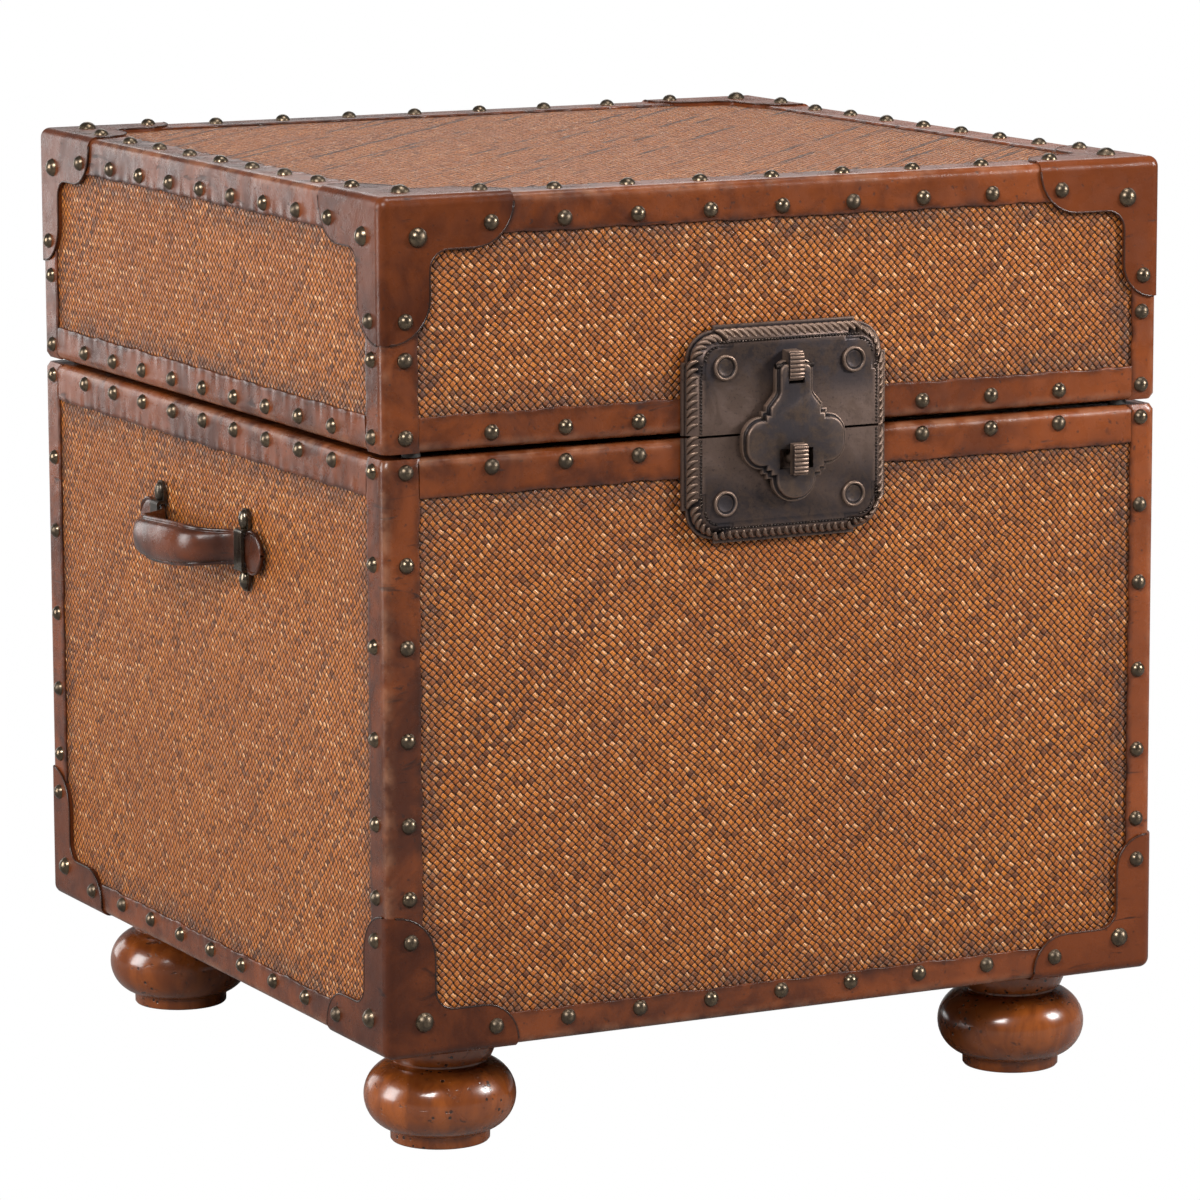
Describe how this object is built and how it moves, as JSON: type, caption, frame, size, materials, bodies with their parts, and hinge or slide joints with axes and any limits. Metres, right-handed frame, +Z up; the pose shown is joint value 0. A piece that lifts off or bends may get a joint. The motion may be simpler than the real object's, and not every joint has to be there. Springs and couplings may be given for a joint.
{
  "type": "storage trunk",
  "caption": "Square wooden trunk with a hinged lid, woven panels framed in nailed leather strips, a hasp latch, strap handles and turned bun feet.",
  "frame": {"origin": "on the floor, under the middle of the whole trunk's outline", "axes": "+Z up; the latch faces -Y, the hinges +Y, the handles -X and +X"},
  "size_m": [0.635, 0.5952, 0.6186],
  "materials": {
    "panel_wood": "satin",
    "weave": "woven, matte",
    "strip_leather": "waxed, scuffed",
    "handle_leather": "waxed, stitched",
    "nail_brass": "antique",
    "latch_bronze": "antique, worn",
    "foot_wood": "gloss",
    "steel": "bronzed",
    "bumper_rubber": "matte"
  },
  "bodies": {
    "base": {"base_back_panel": "panel_wood", "base_back_weave": "weave", "base_bottom_panel": "panel_wood", "base_bottom_trim": "strip_leather", "base_corner_nails": "nail_brass", "base_corner_patches": "strip_leather", "base_front_panel": "panel_wood", "base_front_weave": "weave", "base_left_panel": "panel_wood", "base_left_weave": "weave", "base_nails": "nail_brass", "base_right_panel": "panel_wood", "base_right_weave": "weave", "base_rim_trim": "strip_leather", "base_upright_trim": "strip_leather", "foot_back_left": "foot_wood", "foot_back_right": "foot_wood", "foot_bolts": "steel", "foot_front_left": "foot_wood", "foot_front_right": "foot_wood", "foot_tee_nuts": "steel", "handle_grip_left": "handle_leather", "handle_grip_right": "handle_leather", "handle_loops_left": "latch_bronze", "handle_loops_right": "latch_bronze", "handle_screws": "latch_bronze", "hinge_base_leaves": "steel", "hinge_pins": "steel", "hinge_screws_base": "steel", "latch_plate_lower": "latch_bronze", "latch_rivets_lower": "latch_bronze"},
    "lid": {"hasp_knuckle": "latch_bronze", "hinge_lid_leaves": "steel", "hinge_screws_lid": "steel", "latch_plate_upper": "latch_bronze", "latch_rivets_upper": "latch_bronze", "lid_back_panel": "panel_wood", "lid_back_weave": "weave", "lid_bumpers": "bumper_rubber", "lid_corner_nails": "nail_brass", "lid_corner_patches": "strip_leather", "lid_front_panel": "panel_wood", "lid_front_weave": "weave", "lid_left_panel": "panel_wood", "lid_left_weave": "weave", "lid_nails": "nail_brass", "lid_right_panel": "panel_wood", "lid_right_weave": "weave", "lid_rim_trim": "strip_leather", "lid_top_panel": "panel_wood", "lid_top_trim": "strip_leather", "lid_top_weave": "weave", "lid_upright_trim": "strip_leather"},
    "hasp": {"hasp": "latch_bronze", "hasp_pin": "latch_bronze"},
    "knob": {"turn_knob": "latch_bronze", "turn_knob_washer": "latch_bronze"}
  },
  "joints": [
    {"name": "lid_hinge", "type": "hinge", "parent": "base", "child": "lid", "pos_m": [0, 0.29186, 0.45285], "axis": [-1, 0, 0], "range_deg": [0, 100]},
    {"name": "hasp_hinge", "type": "hinge", "parent": "lid", "child": "hasp", "pos_m": [0, -0.28694, 0.49555], "axis": [-1, 0, 0], "range_deg": [0, 104.9]},
    {"name": "knob_turn", "type": "hinge", "parent": "base", "child": "knob", "pos_m": [0, -0.28, 0.43655], "axis": [0, -1, 0], "range_deg": [0, 90]}
  ]
}
